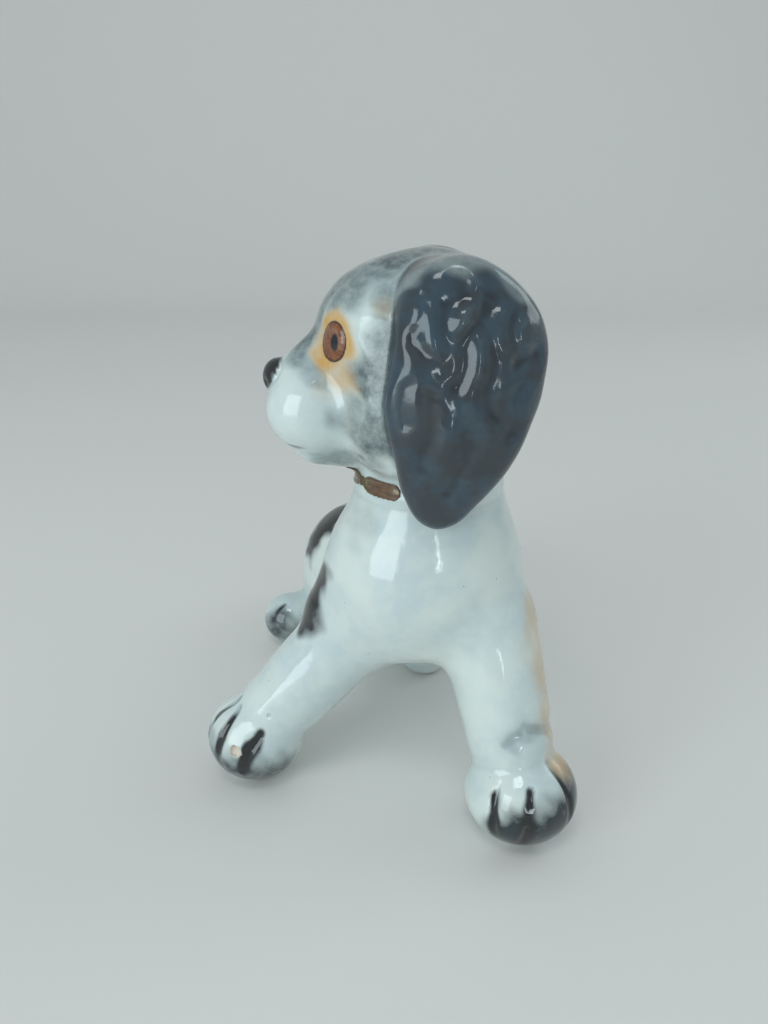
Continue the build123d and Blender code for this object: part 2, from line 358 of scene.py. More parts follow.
def head_form(p):
    """The head with its nose, mouth line, philtrum and eyes."""
    h = head_point(p)
    m = mirrored(h)
    d = skull_form(h)
    nose = ellipsoid(m, NOSE_AT, NOSE_RADII)
    nose = nose + 0.5 * np.exp(-(length(m - column(*NOSTRIL_AT)) / 1.0) ** 2)
    d = join(d, nose, 0.8)
    d = d + groove(m, PHILTRUM, 0.45, 0.4)
    d = d + groove(m, MOUTH, 0.7, 0.45)
    ring = eye_ring(m)
    near_eye = np.exp(-(length(m - column(*EYE_AT)) / 6) ** 2)
    d = d + near_eye * 0.22 * np.exp(-((ring - 1) / 0.1) ** 2)
    return d - near_eye * 0.5 * np.clip(1 - ring * ring, 0, 1)


def outline_distance(f, u, outline):
    """Signed distance in a plane to a closed outline of straight lines."""
    best = np.full(f.shape, 1e9, np.float32)
    inside = np.zeros(f.shape, bool)
    for (f0, u0), (f1, u1) in zip(outline, outline[1:] + outline[:1]):
        df, du = f1 - f0, u1 - u0
        qf, qu = f - f0, u - u0
        t = np.clip((qf * df + qu * du) / (df * df + du * du), 0, 1)
        best = np.minimum(best, (qf - df * t) ** 2 + (qu - du * t) ** 2)
        crosses = (u0 > u) != (u1 > u)
        if du:
            inside ^= crosses & (f < f0 + (u - u0) * df / du)
    return np.where(inside, -1, 1) * np.sqrt(best)


def smooth_outline(corners, steps):
    """A closed curve through given corners, cut into short straight lines."""
    points = []
    count = len(corners)
    for i in range(count):
        a, b, c, d = (np.array(corners[(i + k) % count], float) for k in (-1, 0, 1, 2))
        for t in np.arange(steps) / steps:
            bend = 2 * b + (c - a) * t + (2 * a - 5 * b + 4 * c - d) * t * t
            points.append(tuple((bend + (3 * b - a - 3 * c + d) * t ** 3) / 2))
    return points


def ear_relief(f, u):
    """The modelled locks of hair on the outside of an ear: + stands out."""
    q = np.stack([f, np.zeros_like(f), u])
    sway = np.stack([0.5 * np.sin(u / 1.9), np.zeros_like(f), 0.4 * np.sin(f / 1.7 + 1.0)])
    total = 0.22 * np.sin(f / 1.5 + 1.7 + np.sin(u / 3)) * np.sin(u / 2.9 + 0.4)
    for strokes, sign in ((EAR_LOCKS, -1), (EAR_RIDGES, 1)):
        for path, height in strokes:
            path = [(forward, 0, up) for forward, up in path]
            total += sign * groove(q + sway, path, EAR_LOCK_WIDTH, height)
    return total


def ear_form(p, side):
    """One hanging ear; side is 1 for the left and -1 for the right."""
    h = head_point(p)
    f, out, u = h[0], h[1] * side, h[2]
    edge = outline_distance(f, u, EAR_EDGE)
    dome = ellipsoid(np.stack([f, out, u]), *EAR_DOME)
    root = 1 / (1 + np.exp(-np.clip(u - EAR_ROOT_LEVEL, -60, 60) / EAR_ROOT_EASE))
    inner = EAR_INNER + (EAR_ROOT_INNER - EAR_INNER) * root - out
    relief = ear_relief(f, u) * np.clip((out - 17) / 4, 0, 1) * np.clip(-edge / 3, 0, 1)
    slab = common(dome - relief, inner, 3)
    return common(edge, slab, EAR_EDGE_ROUND)


def neck_form(p):
    neck = limb(p, *NECK)
    ridge = 0.16 * np.exp(-((p[2] - SEAM_LEVEL - 1.0) / 1.2) ** 2)
    return neck - ridge + 0.14 * np.exp(-((p[2] - SEAM_LEVEL + 1.0) / 0.9) ** 2)


def trunk_form(p):
    front = join(ellipsoid(p, *CHEST), ellipsoid(p, *BELLY, BELLY_TILT), TRUNK_FILLET)
    return join(front, ellipsoid(p, *RUMP), TRUNK_FILLET)


def toe_grooves(p, paw, strokes):
    """Soft creases between the toes, running up from the floor over the front of a paw."""
    total = np.zeros(p.shape[1], np.float32)
    for path in strokes:
        total += groove(p, [tuple(np.add(paw, step)) for step in path], TOE_WIDTH, TOE_DEPTH)
    return total


def left_foreleg_form(p):
    leg = limb(p, *LEFT_LEG)
    paw = ellipsoid(p, LEFT_PAW, LEFT_PAW_RADII) + toe_grooves(p, LEFT_PAW, LEFT_TOES)
    return join(leg, paw, PAW_FILLET) + groove(p, WRIST_CREASE, 1.9, 0.8)


def right_foreleg_form(p):
    leg = join(limb(p, *RIGHT_LEG), limb(p, *RIGHT_SHOULDER), 6)
    paw = ellipsoid(p, RIGHT_PAW, RIGHT_PAW_RADII) + toe_grooves(p, RIGHT_PAW, RIGHT_TOES)
    return join(leg, paw, PAW_FILLET)


def hind_leg_form(p, side, heel, toes):
    x, y, z = THIGH_AT
    thigh = ellipsoid(p, (x + THIGH_SPREAD * side, y, z), THIGH_RADII)
    return join(thigh, limb(p, heel, toes, HIND_FOOT_RADII), HEEL_FILLET)


def tail_form(p):
    return limb(p, *TAIL)


def bow_coordinates(p):
    """Along the neck from the knot, and up from it, in mm."""
    angle = np.arctan2(p[1] - NECK_AXIS[1], p[0] - NECK_AXIS[0]) - math.radians(BOW_BEARING)
    angle = (angle + math.pi) % (2 * math.pi) - math.pi
    return angle * BOW_NECK_RADIUS, p[2] - BOW_LEVEL


def bow_form(p):
    """A thin bow: two pleated loops with pinked ends, and a knot."""
    along, up = bow_coordinates(p)
    out = np.abs(along)
    opening = np.clip((out - 0.6) / 2.6, 0, 1)
    half_height = 0.55 + (BOW_HALF_HEIGHT - 0.55) * opening * (2 - opening)
    pinked = 0.16 * np.abs((up * 0.95) % 1 * 2 - 1)
    pinked_below = 0.16 * np.abs((along * 0.9) % 1 * 2 - 1) * (up < 0)
    end = out - BOW_HALF_WIDTH + 0.30 * up * up + pinked
    loops = common(np.abs(up) - half_height + pinked_below, end, 0.8)
    pleats = 0.08 * np.cos(np.arctan2(up, out + 1.0) * 22)
    rise = 0.36 + pleats
    knot = np.sqrt(along ** 2 + (up * 0.9) ** 2) - 0.9
    flat = join(loops, knot, 0.4)
    rise = rise + 0.35 * np.clip(-knot / 0.9, 0, 1)
    skin = figure(p)
    return common(flat, np.maximum(skin - rise, -0.25 - skin), 0.3)


def castings(p):
    """The plain form of each casting, for finding which one a point of the surface is on."""
    h = head_point(p)
    neck = neck_form(p)
    above = p[2] >= SEAM_LEVEL
    return {
        "torso": np.minimum(trunk_form(p), np.where(above, 1e3, neck)),
        "head": np.minimum(skull_form(h), np.where(above, neck, 1e3)),
        "ear_left": ear_form(p, 1),
        "ear_right": ear_form(p, -1),
        "foreleg_left": left_foreleg_form(p),
        "foreleg_right": right_foreleg_form(p),
        "hind_leg_left": hind_leg_form(p, 1, *LEFT_HIND_FOOT),
        "hind_leg_right": hind_leg_form(p, -1, *RIGHT_HIND_FOOT),
        "tail": tail_form(p),
    }


def figure(p):
    """The whole puppy as one glazed surface."""
    d = join(trunk_form(p), neck_form(p), NECK_FILLET)
    d = join(d, left_foreleg_form(p), LEFT_SHOULDER_FILLET)
    d = join(d, right_foreleg_form(p), RIGHT_SHOULDER_FILLET)
    d = join(d, hind_leg_form(p, 1, *LEFT_HIND_FOOT), HIP_FILLET)
    d = join(d, hind_leg_form(p, -1, *RIGHT_HIND_FOOT), HIP_FILLET)
    d = join(d, tail_form(p), TAIL_FILLET)
    d = join(d, head_form(p), HEAD_FILLET)
    rooted = 1.2 + 3.0 * fade(p[2] - SKULL_AT[2], 17, 10)
    d = join(d, ear_form(p, 1), rooted)
    d = join(d, ear_form(p, -1), rooted)
    d = d + 0.11 * uneven(p, HAND_WAVES) + 0.035 * uneven(p, SKIN_WAVES)
    vent = np.maximum(np.hypot(p[0] - VENT_AT[0], p[1] - VENT_AT[1]) - VENT_RADIUS, p[2] - VENT_DEPTH)
    d = common(d, -vent, 0.6)
    chip = length(p - column(*CHIP_AT)) - CHIP_RADIUS - 0.16 * uneven(p * 8, HAND_WAVES)
    d = common(d, -chip, 0.15)
    d = common(d, PIT_RADIUS - length(p - column(*PIT_AT)), 0.5)
    return common(d, -p[2], FOOT_EDGE_ROUND)


# ---- From the form to meshes ----

def near_surface(form, low, high, step):
    """The form's values on a grid, worked out in full only in blocks near its surface."""
    size = step * BLOCK
    counts = [int(math.ceil((b - a) / size)) for a, b in zip(low, high)]
    values = np.full([n * BLOCK for n in counts], CLIP, np.float32)
    middles = np.stack(np.meshgrid(*[a + (np.arange(n) + 0.5) * size
                                     for a, n in zip(low, counts)], indexing="ij"))
    coarse = form(middles.reshape(3, -1).astype(np.float32)).reshape(counts)
    far = np.abs(coarse) > size * 1.3 + 1.0
    blocks = values.reshape(counts[0], BLOCK, counts[1], BLOCK, counts[2], BLOCK)
    blocks = blocks.transpose(0, 2, 4, 1, 3, 5)
    blocks[far] = np.where(coarse[far] > 0, CLIP, -CLIP)[:, None, None, None]
    inner = np.stack(np.meshgrid(*[(np.arange(BLOCK) + 0.5) * step] * 3, indexing="ij"))
    corners = np.argwhere(~far)
    for start in range(0, len(corners), 2000):
        some = corners[start:start + 2000]
        base = some * size + np.array(low)
        points = base[:, :, None, None, None] + inner[None]
        points = np.moveaxis(points, 1, 0).reshape(3, -1).astype(np.float32)
        found = np.clip(form(points), -CLIP, CLIP).reshape(-1, BLOCK, BLOCK, BLOCK)
        blocks[some[:, 0], some[:, 1], some[:, 2]] = found
    return values


def slope(form, p, step):
    """The form's gradient, and the sum of its second differences."""
    steps = np.eye(3, dtype=np.float32) * step
    here = form(p)
    ahead = [form(p + s[:, None]) for s in steps]
    behind = [form(p - s[:, None]) for s in steps]
    gradient = np.stack([(a - b) / (2 * step) for a, b in zip(ahead, behind)])
    return here, gradient, (sum(ahead) + sum(behind) - 6 * here) / (step * step)


def surface(form, low, high, step):
    """Points and four-sided faces on the form's surface, from outside in the right order."""
    grid = openvdb.FloatGrid(background=CLIP)
    grid.copyFromArray(near_surface(form, low, high, step))
    points, faces = grid.convertToQuads(isovalue=0.0)
    points = (points + 0.5) * step + np.array(low)
    p = points.T.astype(np.float32)
    for _ in range(2):
        here, gradient, _curve = slope(form, p, SLOPE_STEP)
        p = p - gradient * np.clip(here, -step, step) / np.maximum((gradient ** 2).sum(0), 0.05)
    return p, faces.astype(np.int64)


def directions(form, p):
    """The outward direction of the surface at each point."""
    _here, gradient, _curve = slope(form, p, SLOPE_STEP)
    return gradient / np.maximum(length(gradient), 1e-6)


def quiet_labels(labels, faces):
    """Gives small islands of one casting inside another to the casting round them."""
    edges = np.sort(np.stack([faces, np.roll(faces, -1, axis=1)], -1).reshape(-1, 2), axis=1)
    owner = np.repeat(np.arange(len(faces)), 4)
    order = np.lexsort((edges[:, 1], edges[:, 0]))
    same = (edges[order][1:] == edges[order][:-1]).all(1)
    a, b = owner[order][:-1][same], owner[order][1:][same]
    island = np.arange(len(faces))
    alike = labels[a] == labels[b]
    while True:
        before = island.copy()
        low = np.minimum(island[a[alike]], island[b[alike]])
        np.minimum.at(island, a[alike], low)
        np.minimum.at(island, b[alike], low)
        island = island[island]
        if (before == island).all():
            break
    sizes = np.bincount(island, minlength=len(faces))
    for label in np.unique(labels):
        largest = sizes[island[labels == label]].max()
        small = (labels == label) & (sizes[island] < largest)
        labels = np.where(small, -1, labels)
    for _ in range(LABEL_PASSES):
        if not (labels < 0).any():
            break
        take = (labels[a] < 0) & (labels[b] >= 0)
        labels[a[take]] = labels[b[take]]
        take = (labels[b] < 0) & (labels[a] >= 0)
        labels[b[take]] = labels[a[take]]
    return labels


def settle_joint_lines(p, faces, labels):
    """Slides points on a joint between two castings along the surface on to the true joint."""
    lowest = np.full(p.shape[1], 99)
    highest = np.full(p.shape[1], -1)
    for corner in range(4):
        np.minimum.at(lowest, faces[:, corner], labels)
        np.maximum.at(highest, faces[:, corner], labels)
    names = list(castings(p[:, :1]))
    for pair in {(a, b) for a, b in zip(lowest, highest) if a != b}:
        on = (lowest == pair[0]) & (highest == pair[1])

        def gap(q):
            forms = castings(q)
            return forms[names[pair[0]]] - forms[names[pair[1]]]

        q = p[:, on]
        for _ in range(2):
            across, lean, _curve = slope(gap, q, SLOPE_STEP)
            out = directions(figure, q)
            lean = lean - out * (lean * out).sum(0)
            move = lean * across / np.maximum((lean ** 2).sum(0), 0.05)
            reach = np.maximum(length(move) / (0.4 * VOXEL), 1)
            q = q - move / reach
            here, gradient, _curve = slope(figure, q, SLOPE_STEP)
            q = q - gradient * here / np.maximum((gradient ** 2).sum(0), 0.05)
        p[:, on] = q
    return p


def rim_caps(faces, count):
    """The open rim edges of a cut mesh and the rim each belongs to, for closing each rim to a new point
    in its middle.
    """
    ahead = np.stack([faces, np.roll(faces, -1, axis=1)], -1).reshape(-1, 2)
    code = ahead[:, 0] * count + ahead[:, 1]
    back = ahead[:, 1] * count + ahead[:, 0]
    rim = ahead[~np.isin(code, back)]
    group = np.arange(count)
    while True:
        before = group.copy()
        low = np.minimum(group[rim[:, 0]], group[rim[:, 1]])
        np.minimum.at(group, rim[:, 0], low)
        np.minimum.at(group, rim[:, 1], low)
        if (before == group).all():
            return rim, group[rim[:, 0]]


EAR_EDGE = smooth_outline(EAR_CORNERS, 4)
HAND_WAVES = seeded_waves(4, 10, 14, 34)
SKIN_WAVES = seeded_waves(9, 12, 6, 12)
DRIFT_WAVES = [seeded_waves(seed, 7, 4, 13) for seed in (21, 22, 23)]


def make_mesh(name, p, faces, normals, coats):
    """A smooth-shaded Blender mesh in the frame's metres, with its paint as attributes."""
    mesh = bpy.data.meshes.new(name)
    mesh.from_pydata((p.T * MM + np.array(BENCH_MARK)).tolist(), [], faces)
    for coat, amount in coats.items():
        attribute = mesh.attributes.new(coat, "FLOAT", "POINT")
        attribute.data.foreach_set("value", np.ascontiguousarray(amount, dtype=np.float32))
    mesh.shade_smooth()
    mesh.normals_split_custom_set_from_vertices(normals.T.tolist())
    mesh.validate()
    made = bpy.data.objects.new(name, mesh)
    bpy.context.scene.collection.objects.link(made)
    return made


def closed_part(p, faces, normals, coats):
    """The points of some faces with their rims closed."""
    used, flat = np.unique(faces, return_inverse=True)
    quads = flat.reshape(-1, 4)
    p, normals = p[:, used], normals[:, used]
    coats = {coat: amount[used] for coat, amount in coats.items()}
    rim, rim_group = rim_caps(quads, len(used))
    caps = []
    for group in np.unique(rim_group):
        edges = rim[rim_group == group]
        middle = p[:, np.unique(edges)].mean(axis=1, keepdims=True)
        caps += [(int(b), int(a), p.shape[1]) for a, b in edges]
        p = np.concatenate([p, middle], axis=1)
        normals = np.concatenate([normals, column(0, 0, 1)], axis=1)
        coats = {coat: np.append(amount, 0) for coat, amount in coats.items()}
    return p, quads.tolist() + caps, normals, coats


# ---- Sprayed and brushed colour, and painted shade: how much of each coat lands on each point ----

def spray(p, path, full, gone):
    """Colour sprayed along a path, full within one distance of it and gone past another."""
    return fade(nearest_on_path(p, path), full, gone)


def spot(p, at, full, gone):
    return fade(length(p - column(*at)), full, gone)


def stroke(p, path, half_widths):
    """A stroke of a loaded brush along a path, as broad at each point as it says."""
    pieces = [limb(p, a, b, (wide_a, wide_b))
              for a, b, wide_a, wide_b in zip(path, path[1:], half_widths, half_widths[1:])]
    return fade(np.minimum.reduce(pieces), -0.35, 0.65)


def drift(p, reach):
    """The points moved about a little, so that soft edges wander."""
    return p + np.stack([uneven(p, waves) for waves in DRIFT_WAVES]) * reach


def most(*coats):
    return np.maximum.reduce(coats)


def grey_coat(p, m):
    """Grey sprayed over the head, and painted shade in the stop, in the left wrist crease and on the
    throat under the chin.
    """
    crown = spray(m, [(6, 3, 20.5), (-3, 3, 21.5), (-10, 3, 19.5), (-17, 2, 12)], 4.5, 11)
    forehead = spray(m, [(7, 6, 19), (13, 7, 17), (17.5, 6.5, 14.5)], 2.5, 8.5) * 0.75
    front = spray(m, [(14, 1, 18), (20.5, 1, 13), (24, 1, 7.5), (26, 2, 2.5)], 2.2, 6.0) * 0.85
    nape = spray(m, [(-19, 0, 4), (-18, 0, -12)], 4, 12) * 0.8
    # Painted shade in the stop, the hollow between muzzle and brow.
    stop = spray(m, [(26, 4.5, 1.0), (23.5, 8.7, -1.0)], 1.0, 4.0) * 0.50
    cheek = spray(m, [(9, 17, 6), (12.5, 16.8, 0), (10, 18, -4), (11.5, 17.8, -11)], 3.5, 8.5) * 0.88
    jowl = spray(m, [(17, 14.5, -8.5), (14, 16.5, -13), (15, 12, -18), (19, 6, -19.5)], 1.5, 6.5) * 0.66
    # Painted shade in the crease of the left wrist.
    wrist = spray(p, WRIST_CREASE[:3], 0.6, 3.2) * 0.34
    # Painted shade on the throat under the chin.
    throat = spot(p, (-4, -43, 70), 2.0, 7.0) * 0.22
    ear_top = spray(m, EAR_TOP, 3, 8) * 0.6
    return most(crown, forehead, front, nape, stop, cheek, jowl, wrist, throat, ear_top)


def orange_coat(p, m):
    """Orange round the eyes and down the outside of the left foreleg."""
    halo = spot(m, EYE_AT, 3.8, 7.0)
    below = spray(m, [(21, 10.8, 2), (19.5, 12.4, -1.5)], 2.5, 6.0) * 0.65
    before_ear = spot(m, (10.9, 14.6, 12.8), 0.8, 3.6) * 0.25
    leg = spray(p, [(33.5, -45, 50), (36, -51.5, 36), (38, -53, 26), (40, -55, 19)], 1.0, 7.5) * 0.55
    paw = spray(p, [(40.5, -55, 18), (42.5, -57, 14)], 2.5, 7.0) * 0.85
    return most(halo, below, before_ear, leg, paw)


def black_coat(p):
    """Black patches on the shoulder, haunch, hip and back."""
    shoulder = spray(p, [(-13.5, -37, 56), (-15.5, -38.6, 50), (-18.5, -39, 44)], 2.6, 6.8)
    haunch = spray(p, [(-8, 24, 46), (-15, 34, 43), (-20, 32.5, 37.5), (-22.5, 29, 33.5)], 3.4, 8.6)
    hip = spray(p, [(20, 28, 42), (24, 38, 34)], 5, 12)
    saddle = spray(p, [(4, -8, 60), (6, 6, 54)], 5, 12)
    return most(shoulder, haunch, hip, saddle)


def nose_coat(m):
    """The black cap of the nose, cut off slanting down and forward where the lip begins."""
    slant = 0.89 * m[0] + 0.455 * m[2]
    return fade(ellipsoid(m, NOSE_AT, NOSE_RADII), 0.3, 0.6) * fade(slant, 27.5, 27.1)


def line_coat(m):
    """The fine lines of the mouth and under the nose."""
    return most(spray(m, PHILTRUM, 0.1, 0.7), spray(m, MOUTH[:4], 0.1, 1.1) * 0.95)


def toe_coat(p):
    """Shaded tips of the paws."""
    left = spray(p, [(27, -67.5, 6), (34, -67.5, 7), (38.5, -65, 9.5), (42, -60, 10.5)], 4.0, 10.5)
    right = spray(p, [(-43.5, -36, 9), (-40, -43, 6), (-34, -47, 5), (-27, -45.5, 4.5)], 2.5, 10.0) * 0.85
    hind_right = spray(p, [(-37, 19, 4), (-31.5, 17.5, 9)], 2.5, 8.5) * 0.8
    return most(left, right, hind_right)


def stroke_coat(p):
    """Black brush strokes down the creases between the toes."""
    drawn = [stroke(p - column(*LEFT_PAW), path, widths)
             for path, widths in zip(LEFT_TOES, LEFT_STROKES)]
    drawn += [stroke(p - column(*RIGHT_PAW), path, widths)
              for path, widths in zip(RIGHT_TOES, RIGHT_STROKES)]
    hind = stroke(p, [(-31, 22, 15.5), (-34.5, 19, 12), (-36, 18, 7)], (0.3, 0.8, 0.9))
    return most(*drawn, hind)


def ear_coat(p):
    """The dark glaze of the ears, up to the head, and thinner along the top of the root."""
    forms = castings(p)
    ears = np.minimum(forms.pop("ear_left"), forms.pop("ear_right"))
    dark = fade(ears - np.minimum.reduce(list(forms.values())), -0.3, 0.5)
    m = mirrored(head_point(drift(p, 0.9)))
    return dark * (1 - 0.6 * spray(m, EAR_TOP, 0.4, 3.6))


def bare_coat(p):
    """Where there is no glaze: under the feet, in the vent and in a chip."""
    feet = fade(p[2], 0.15, 0.55)
    vent = fade(np.hypot(p[0] - VENT_AT[0], p[1] - VENT_AT[1]), 2.9, 3.3) * fade(p[2], 3, 6)
    chip = fade(length(p - column(*CHIP_AT)), 1.35, 1.55)
    return most(feet, vent, chip)


def coats_on(p, bend):
    """Every coat of colour at each point, and how hollow or proud the surface is there."""
    wandering = drift(p, 0.9)
    m = mirrored(head_point(wandering))
    steady = mirrored(head_point(p))
    return {
        "grey": grey_coat(wandering, m),
        "orange": orange_coat(wandering, m),
        "black": black_coat(drift(p, 1.0)),
        "nose": nose_coat(steady),
        "line": line_coat(steady),
        "toe": toe_coat(wandering),
        "stroke": stroke_coat(drift(p, 0.25)),
        "ear": ear_coat(p),
        "bare": bare_coat(p),
        "bend": bend,
    }


# ---- Glaze materials ----
WHITE_SOFTNESS = 0.10                        # roughness of the clear glaze
DARK_SOFTNESS = 0.11

class Glaze:
    """Short names for the shader nodes that a glaze is built from. Vectors are in mm."""

    def __init__(self, name):
        self.material = bpy.data.materials.new(name)
        self.material.use_nodes = True
        self.tree = self.material.node_tree
        self.shader = self.tree.nodes["Principled BSDF"]

    def node(self, kind, inputs=(), **settings):
        made = self.tree.nodes.new(kind)
        for key, value in settings.items():
            setattr(made, key, value)
        for socket, value in dict(inputs).items():
            if isinstance(value, bpy.types.NodeSocket):
                self.tree.links.new(value, made.inputs[socket])
            else:
                made.inputs[socket].default_value = value
        return made

    def math(self, operation, *values):
        return self.node("ShaderNodeMath", enumerate(values), operation=operation).outputs[0]

    def vector(self, operation, *values):
        made = self.node("ShaderNodeVectorMath", enumerate(values), operation=operation)
        scalar = operation in ("DOT_PRODUCT", "LENGTH", "DISTANCE")
        return made.outputs["Value" if scalar else "Vector"]

    def ease(self, value, full, gone):
        """1 where value has reached full, 0 where it has gone."""
        inputs = {"Value": value, "From Min": gone, "From Max": full}
        return self.node("ShaderNodeMapRange", inputs, interpolation_type="SMOOTHSTEP").outputs[0]

    def mix(self, amount, a, b, blend="MIX"):
        made = self.node("ShaderNodeMix", data_type="RGBA", blend_type=blend)
        for socket, value in ((0, amount), (6, a), (7, b)):
            if isinstance(value, bpy.types.NodeSocket):
                self.tree.links.new(value, made.inputs[socket])
            else:
                made.inputs[socket].default_value = value
        return made.outputs[2]

    def coat(self, name):
        return self.node("ShaderNodeAttribute", attribute_name=name).outputs["Fac"]

    def place(self):
        """The point on the surface, in mm from the bench mark."""
        metres = self.node("ShaderNodeTexCoord").outputs["Object"]
        moved = self.vector("SUBTRACT", metres, tuple(BENCH_MARK))
        made = self.node("ShaderNodeVectorMath", {0: moved, "Scale": 1 / MM}, operation="SCALE")
        return made.outputs["Vector"]

    def head_place(self, place):
        """The point in the head's own directions, folded on to its left half."""
        moved = self.vector("SUBTRACT", place, SKULL_AT)
        inputs = {"Vector": moved, "Rotation": (0, 0, -math.radians(HEAD_HEADING))}
        turned = self.node("ShaderNodeVectorRotate", inputs, rotation_type="EULER_XYZ")
        x, y, z = self.node("ShaderNodeSeparateXYZ", {0: turned.outputs[0]}).outputs
        folded = self.node("ShaderNodeCombineXYZ", {0: x, 1: self.math("ABSOLUTE", y), 2: z})
        return folded.outputs[0]

    def noise(self, place, size, detail=2.0, rough=0.5, seed=0.0):
        """Cloudy noise from about 0.25 to 0.75, with lumps of about size mm."""
        inputs = {"Vector": place, "W": seed, "Scale": 1 / size, "Detail": detail, "Roughness": rough}
        return self.node("ShaderNodeTexNoise", inputs, noise_dimensions="4D").outputs[0]

    def specks(self, place, spacing, radius, seed):
        """Small scattered dots."""
        shifted = self.vector("ADD", place, (seed, seed * 2, seed * 3))
        made = self.node("ShaderNodeTexVoronoi", {"Vector": shifted, "Scale": 1 / spacing})
        return self.ease(made.outputs["Distance"], radius * 0.5 / spacing, radius / spacing)


def srgb(red, green, blue):
    """A colour given as on a paint card, from 0 to 255."""
    def linear(value):
        value /= 255
        return value / 12.92 if value < 0.04045 else ((value + 0.055) / 1.055) ** 2.4
    return (linear(red), linear(green), linear(blue), 1.0)


WHITE = srgb(216, 226, 221)
COOL_WHITE = srgb(199, 213, 214)
MILKY_WHITE = srgb(226, 232, 224)
# grey-blue for hollows and creases: glaze lying thick there, and painted shade
POOLED_GLAZE_AND_SHADE = srgb(150, 168, 170)
GREY = srgb(50, 72, 77)
ORANGE = srgb(206, 154, 58)
BLACK = srgb(20, 25, 30)
TOE_SLATE = srgb(30, 44, 50)
STROKE_BLACK = srgb(12, 17, 20)
MOUTH_GREY = srgb(60, 64, 66)
NOSE_BLACK = srgb(7, 10, 14)
EAR_BLUE = srgb(48, 70, 84)
EAR_GREY = srgb(48, 56, 62)
EAR_DEEP = srgb(36, 48, 56)
# painted shade for the hollows between the ear's locks
EAR_HOLLOW_SHADE = srgb(15, 19, 25)
# painted highlight for the proud ridges of the ear's locks
EAR_RIDGE = srgb(92, 112, 122)
PINHOLE = srgb(62, 60, 56)
CLAY = srgb(230, 220, 208)
DARK_CLAY = srgb(212, 198, 184)
IRIS = srgb(108, 56, 26)
IRIS_STREAK = srgb(150, 88, 42)
# painted highlight on the iris
IRIS_HIGHLIGHT = srgb(150, 130, 116)
IRIS_RED = srgb(104, 44, 24)
PUPIL = srgb(16, 18, 24)
EYE_RIM = srgb(52, 28, 18)
BOW_BROWN = srgb(112, 84, 58)
BOW_STREAK = srgb(90, 62, 42)
# painted reflection beside the bow's knot
BOW_OLIVE_REFLECTION = srgb(92, 86, 52)
BOW_EDGE = srgb(92, 38, 24)
# painted highlight for glints on the bow
BOW_GLINT = srgb(196, 176, 120)
FLOOR = srgb(232, 230, 226)


def painted_eye(glaze, base, place):
    """The eye on both sides of the head: a dark rim, a streaked iris with a painted highlight arc near
    its edge, and an oval pupil.
    """
    m = glaze.head_place(place)
    q = glaze.vector("SUBTRACT", m, EYE_AT)
    outward = Vector(EYE_OUTWARD).normalized()
    across = outward.cross(Vector((0, 0, 1))).normalized()
    upward = across.cross(outward)
    a = glaze.vector("DOT_PRODUCT", q, tuple(across))
    b = glaze.vector("DOT_PRODUCT", q, tuple(upward))

    def oval(centre_a, centre_b, half_width, half_height):
        x = glaze.math("DIVIDE", glaze.math("SUBTRACT", a, centre_a), half_width)
        y = glaze.math("DIVIDE", glaze.math("SUBTRACT", b, centre_b), half_height)
        return glaze.vector("LENGTH", glaze.node("ShaderNodeCombineXYZ", {0: x, 1: y}).outputs[0])

    wobble = glaze.math("MULTIPLY", glaze.math("SUBTRACT", glaze.noise(place, 1.2), 0.5), 0.12)
    ring = glaze.math("ADD", oval(0, 0, EYE_HALF_WIDTH, EYE_HALF_HEIGHT), wobble)
    angle = glaze.math("ARCTAN2", b, a)
    streaks = glaze.node("ShaderNodeCombineXYZ", {0: glaze.math("MULTIPLY", angle, 2), 1: ring})
    streak = glaze.noise(streaks.outputs[0], 0.5, 3)
    iris = glaze.mix(glaze.ease(streak, 0.66, 0.36), IRIS, IRIS_STREAK)
    # Painted highlight: a pale arc on one side of the iris, near its edge.
    pale = glaze.ease(glaze.math("ADD", a, glaze.math("MULTIPLY", b, -0.7)), -2.6, 0.4)
    pale = glaze.math("MULTIPLY", pale, glaze.ease(ring, 0.62, 0.80))
    iris = glaze.mix(glaze.math("MULTIPLY", pale, 0.40), iris, IRIS_HIGHLIGHT)
    redder = glaze.ease(glaze.math("SUBTRACT", a, glaze.math("MULTIPLY", b, 0.3)), 2.6, -0.6)
    iris = glaze.mix(glaze.math("MULTIPLY", redder, 0.55), iris, IRIS_RED)
    pupil = glaze.math("ADD", oval(-0.9, 0.0, 0.95, 1.65), wobble)
    iris = glaze.mix(glaze.ease(pupil, 0.75, 1.25), iris, PUPIL)
    rim = glaze.mix(glaze.ease(ring, 0.99, 0.88), iris, EYE_RIM)
    here = glaze.math("LESS_THAN", glaze.vector("LENGTH", q), 7.0)
    inside = glaze.math("MULTIPLY", glaze.ease(ring, 1.0, 1.08), here)
    return glaze.mix(inside, base, rim)


